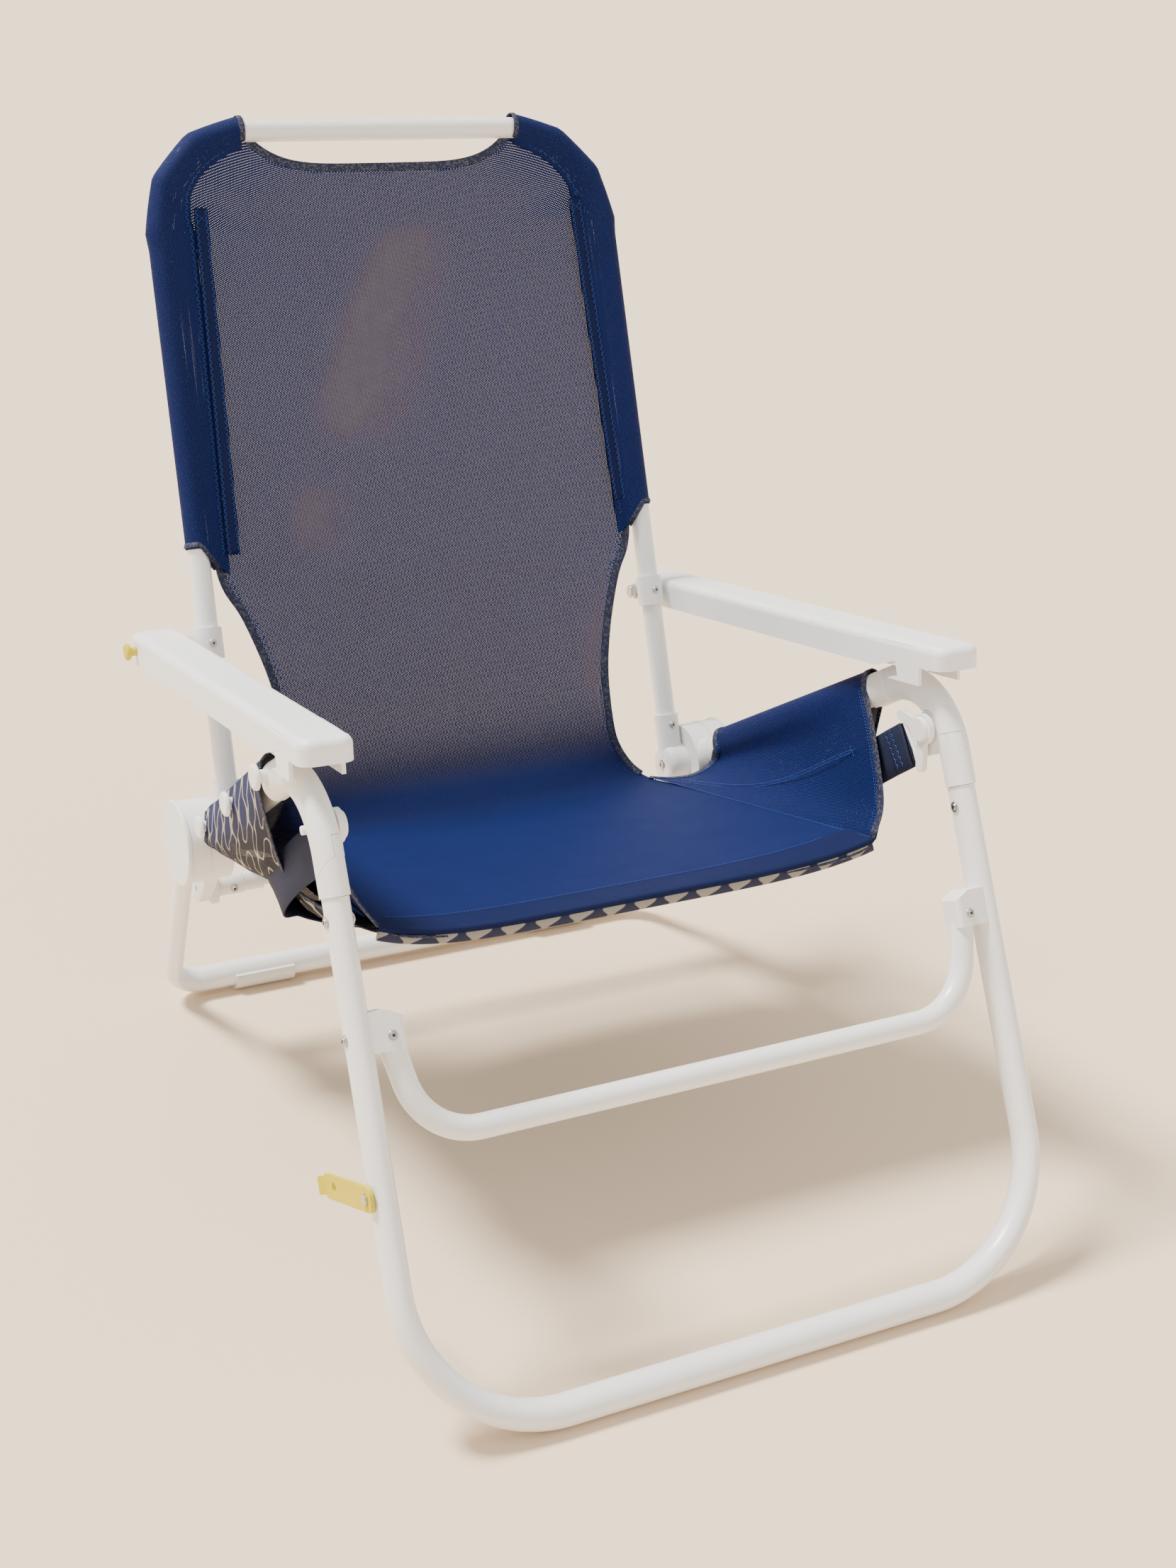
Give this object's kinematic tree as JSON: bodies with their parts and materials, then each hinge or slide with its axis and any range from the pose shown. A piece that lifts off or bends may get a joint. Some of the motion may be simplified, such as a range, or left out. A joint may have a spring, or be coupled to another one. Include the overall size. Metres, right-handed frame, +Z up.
{
  "type": "folding camp chair",
  "caption": "Low folding chair: bent white tube frames on round plastic hubs and elbows, broad armrests and a hung fabric sling.",
  "frame": {"origin": "on the floor, at the middle of the chair's footprint as it stands open for sitting", "axes": "+X to the sitter's left, -Y to the front (the way the sitter faces), +Z up"},
  "size_m": [0.6808, 0.9538, 0.9312],
  "materials": {
    "white_tube": "smooth glossy powder coat",
    "white_moulding": "satin",
    "white_arm": "satin",
    "sling_fabric": "woven mesh, blue shading to grey",
    "slate_webbing": "ribbed webbing",
    "yellow_rubber": "matt",
    "pad_rubber": "matt",
    "steel": "bright zinc"
  },
  "bodies": {
    "seat_frame": {"seat_rail_left": "white_tube", "seat_rail_right": "white_tube", "rail_housing_left": "white_moulding", "rail_housing_right": "white_moulding", "hub_pin_left": "steel", "hub_pin_right": "steel", "cross_tube": "white_tube", "cross_fitting_left": "white_moulding", "cross_fitting_right": "white_moulding", "upper_elbow_left": "white_moulding", "upper_elbow_right": "white_moulding", "elbow_pin_left": "steel", "elbow_pin_right": "steel", "elbow_cap_left": "white_moulding", "elbow_cap_right": "white_moulding", "accessory_studs_left": "white_moulding", "accessory_studs_right": "white_moulding", "seat_screws": "steel", "sling_seat_pan": "sling_fabric", "sling_wing_left": "sling_fabric", "sling_wing_right": "sling_fabric", "pull_strap": "slate_webbing"},
    "back_frame": {"back_tube": "white_tube", "back_socket_left": "white_moulding", "back_socket_right": "white_moulding", "arm_clamp_left": "white_moulding", "arm_clamp_right": "white_moulding", "back_screws": "steel", "sling_back_panel": "sling_fabric", "sling_sleeve_left": "sling_fabric", "sling_sleeve_right": "sling_fabric", "arm_bolt_left": "steel", "arm_bolt_right": "steel"},
    "rear_legs": {"rear_leg_tube": "white_tube", "hub_drum_left": "white_moulding", "hub_drum_right": "white_moulding", "hub_cap_left": "white_moulding", "hub_cap_right": "white_moulding", "foot_pad_left": "pad_rubber", "foot_pad_right": "pad_rubber"},
    "front_legs": {"front_leg_tube": "white_tube", "front_knuckle_left": "white_moulding", "front_knuckle_right": "white_moulding", "crossbar": "white_tube", "crossbar_bracket_left": "white_moulding", "crossbar_bracket_right": "white_moulding", "front_leg_screws": "steel", "closing_strap_screw": "steel"},
    "arm_left": {"armrest_left": "white_arm"},
    "arm_right": {"armrest_right": "white_arm", "strap_knob": "yellow_rubber"},
    "latch_left": {"latch_lever_left": "white_moulding"},
    "latch_right": {"latch_lever_right": "white_moulding"},
    "closing_strap": {"closing_strap": "yellow_rubber"}
  },
  "joints": [
    {"name": "back_fold", "type": "hinge", "parent": "seat_frame", "child": "back_frame", "pos_m": [0, 0.1996, 0.261], "axis": [1, 0, 0], "range_deg": [0, 62]},
    {"name": "arm_left_fold", "type": "hinge", "parent": "back_frame", "child": "arm_left", "pos_m": [0.298, 0.3106, 0.43], "axis": [1, 0, 0], "range_deg": [-90, 0]},
    {"name": "arm_right_fold", "type": "hinge", "parent": "back_frame", "child": "arm_right", "pos_m": [-0.298, 0.3106, 0.43], "axis": [1, 0, 0], "range_deg": [-90, 0]},
    {"name": "rear_leg_fold", "type": "hinge", "parent": "seat_frame", "child": "rear_legs", "pos_m": [0, 0.1996, 0.261], "axis": [-1, 0, 0], "range_deg": [0, 100]},
    {"name": "front_leg_fold", "type": "hinge", "parent": "seat_frame", "child": "front_legs", "pos_m": [0, -0.1974, 0.46], "axis": [1, 0, 0], "range_deg": [0, 74]},
    {"name": "latch_left", "type": "hinge", "parent": "seat_frame", "child": "latch_left", "pos_m": [0.297, -0.1974, 0.46], "axis": [1, 0, 0], "range_deg": [0, 8], "stiffness_Nm_per_rad": 0.5, "springref_deg": -5.73},
    {"name": "latch_right", "type": "hinge", "parent": "seat_frame", "child": "latch_right", "pos_m": [-0.297, -0.1974, 0.46], "axis": [1, 0, 0], "range_deg": [0, 8], "stiffness_Nm_per_rad": 0.5, "springref_deg": -5.73},
    {"name": "closing_strap_swing", "type": "hinge", "parent": "front_legs", "child": "closing_strap", "pos_m": [-0.32888, -0.36091, 0.20062], "axis": [1, 0, 0], "range_deg": [-40, 60]}
  ],
  "couplings": [
    {"joint": "arm_left_fold", "follows": "back_fold", "ratio": -1.44},
    {"joint": "arm_right_fold", "follows": "back_fold", "ratio": -1.44}
  ]
}
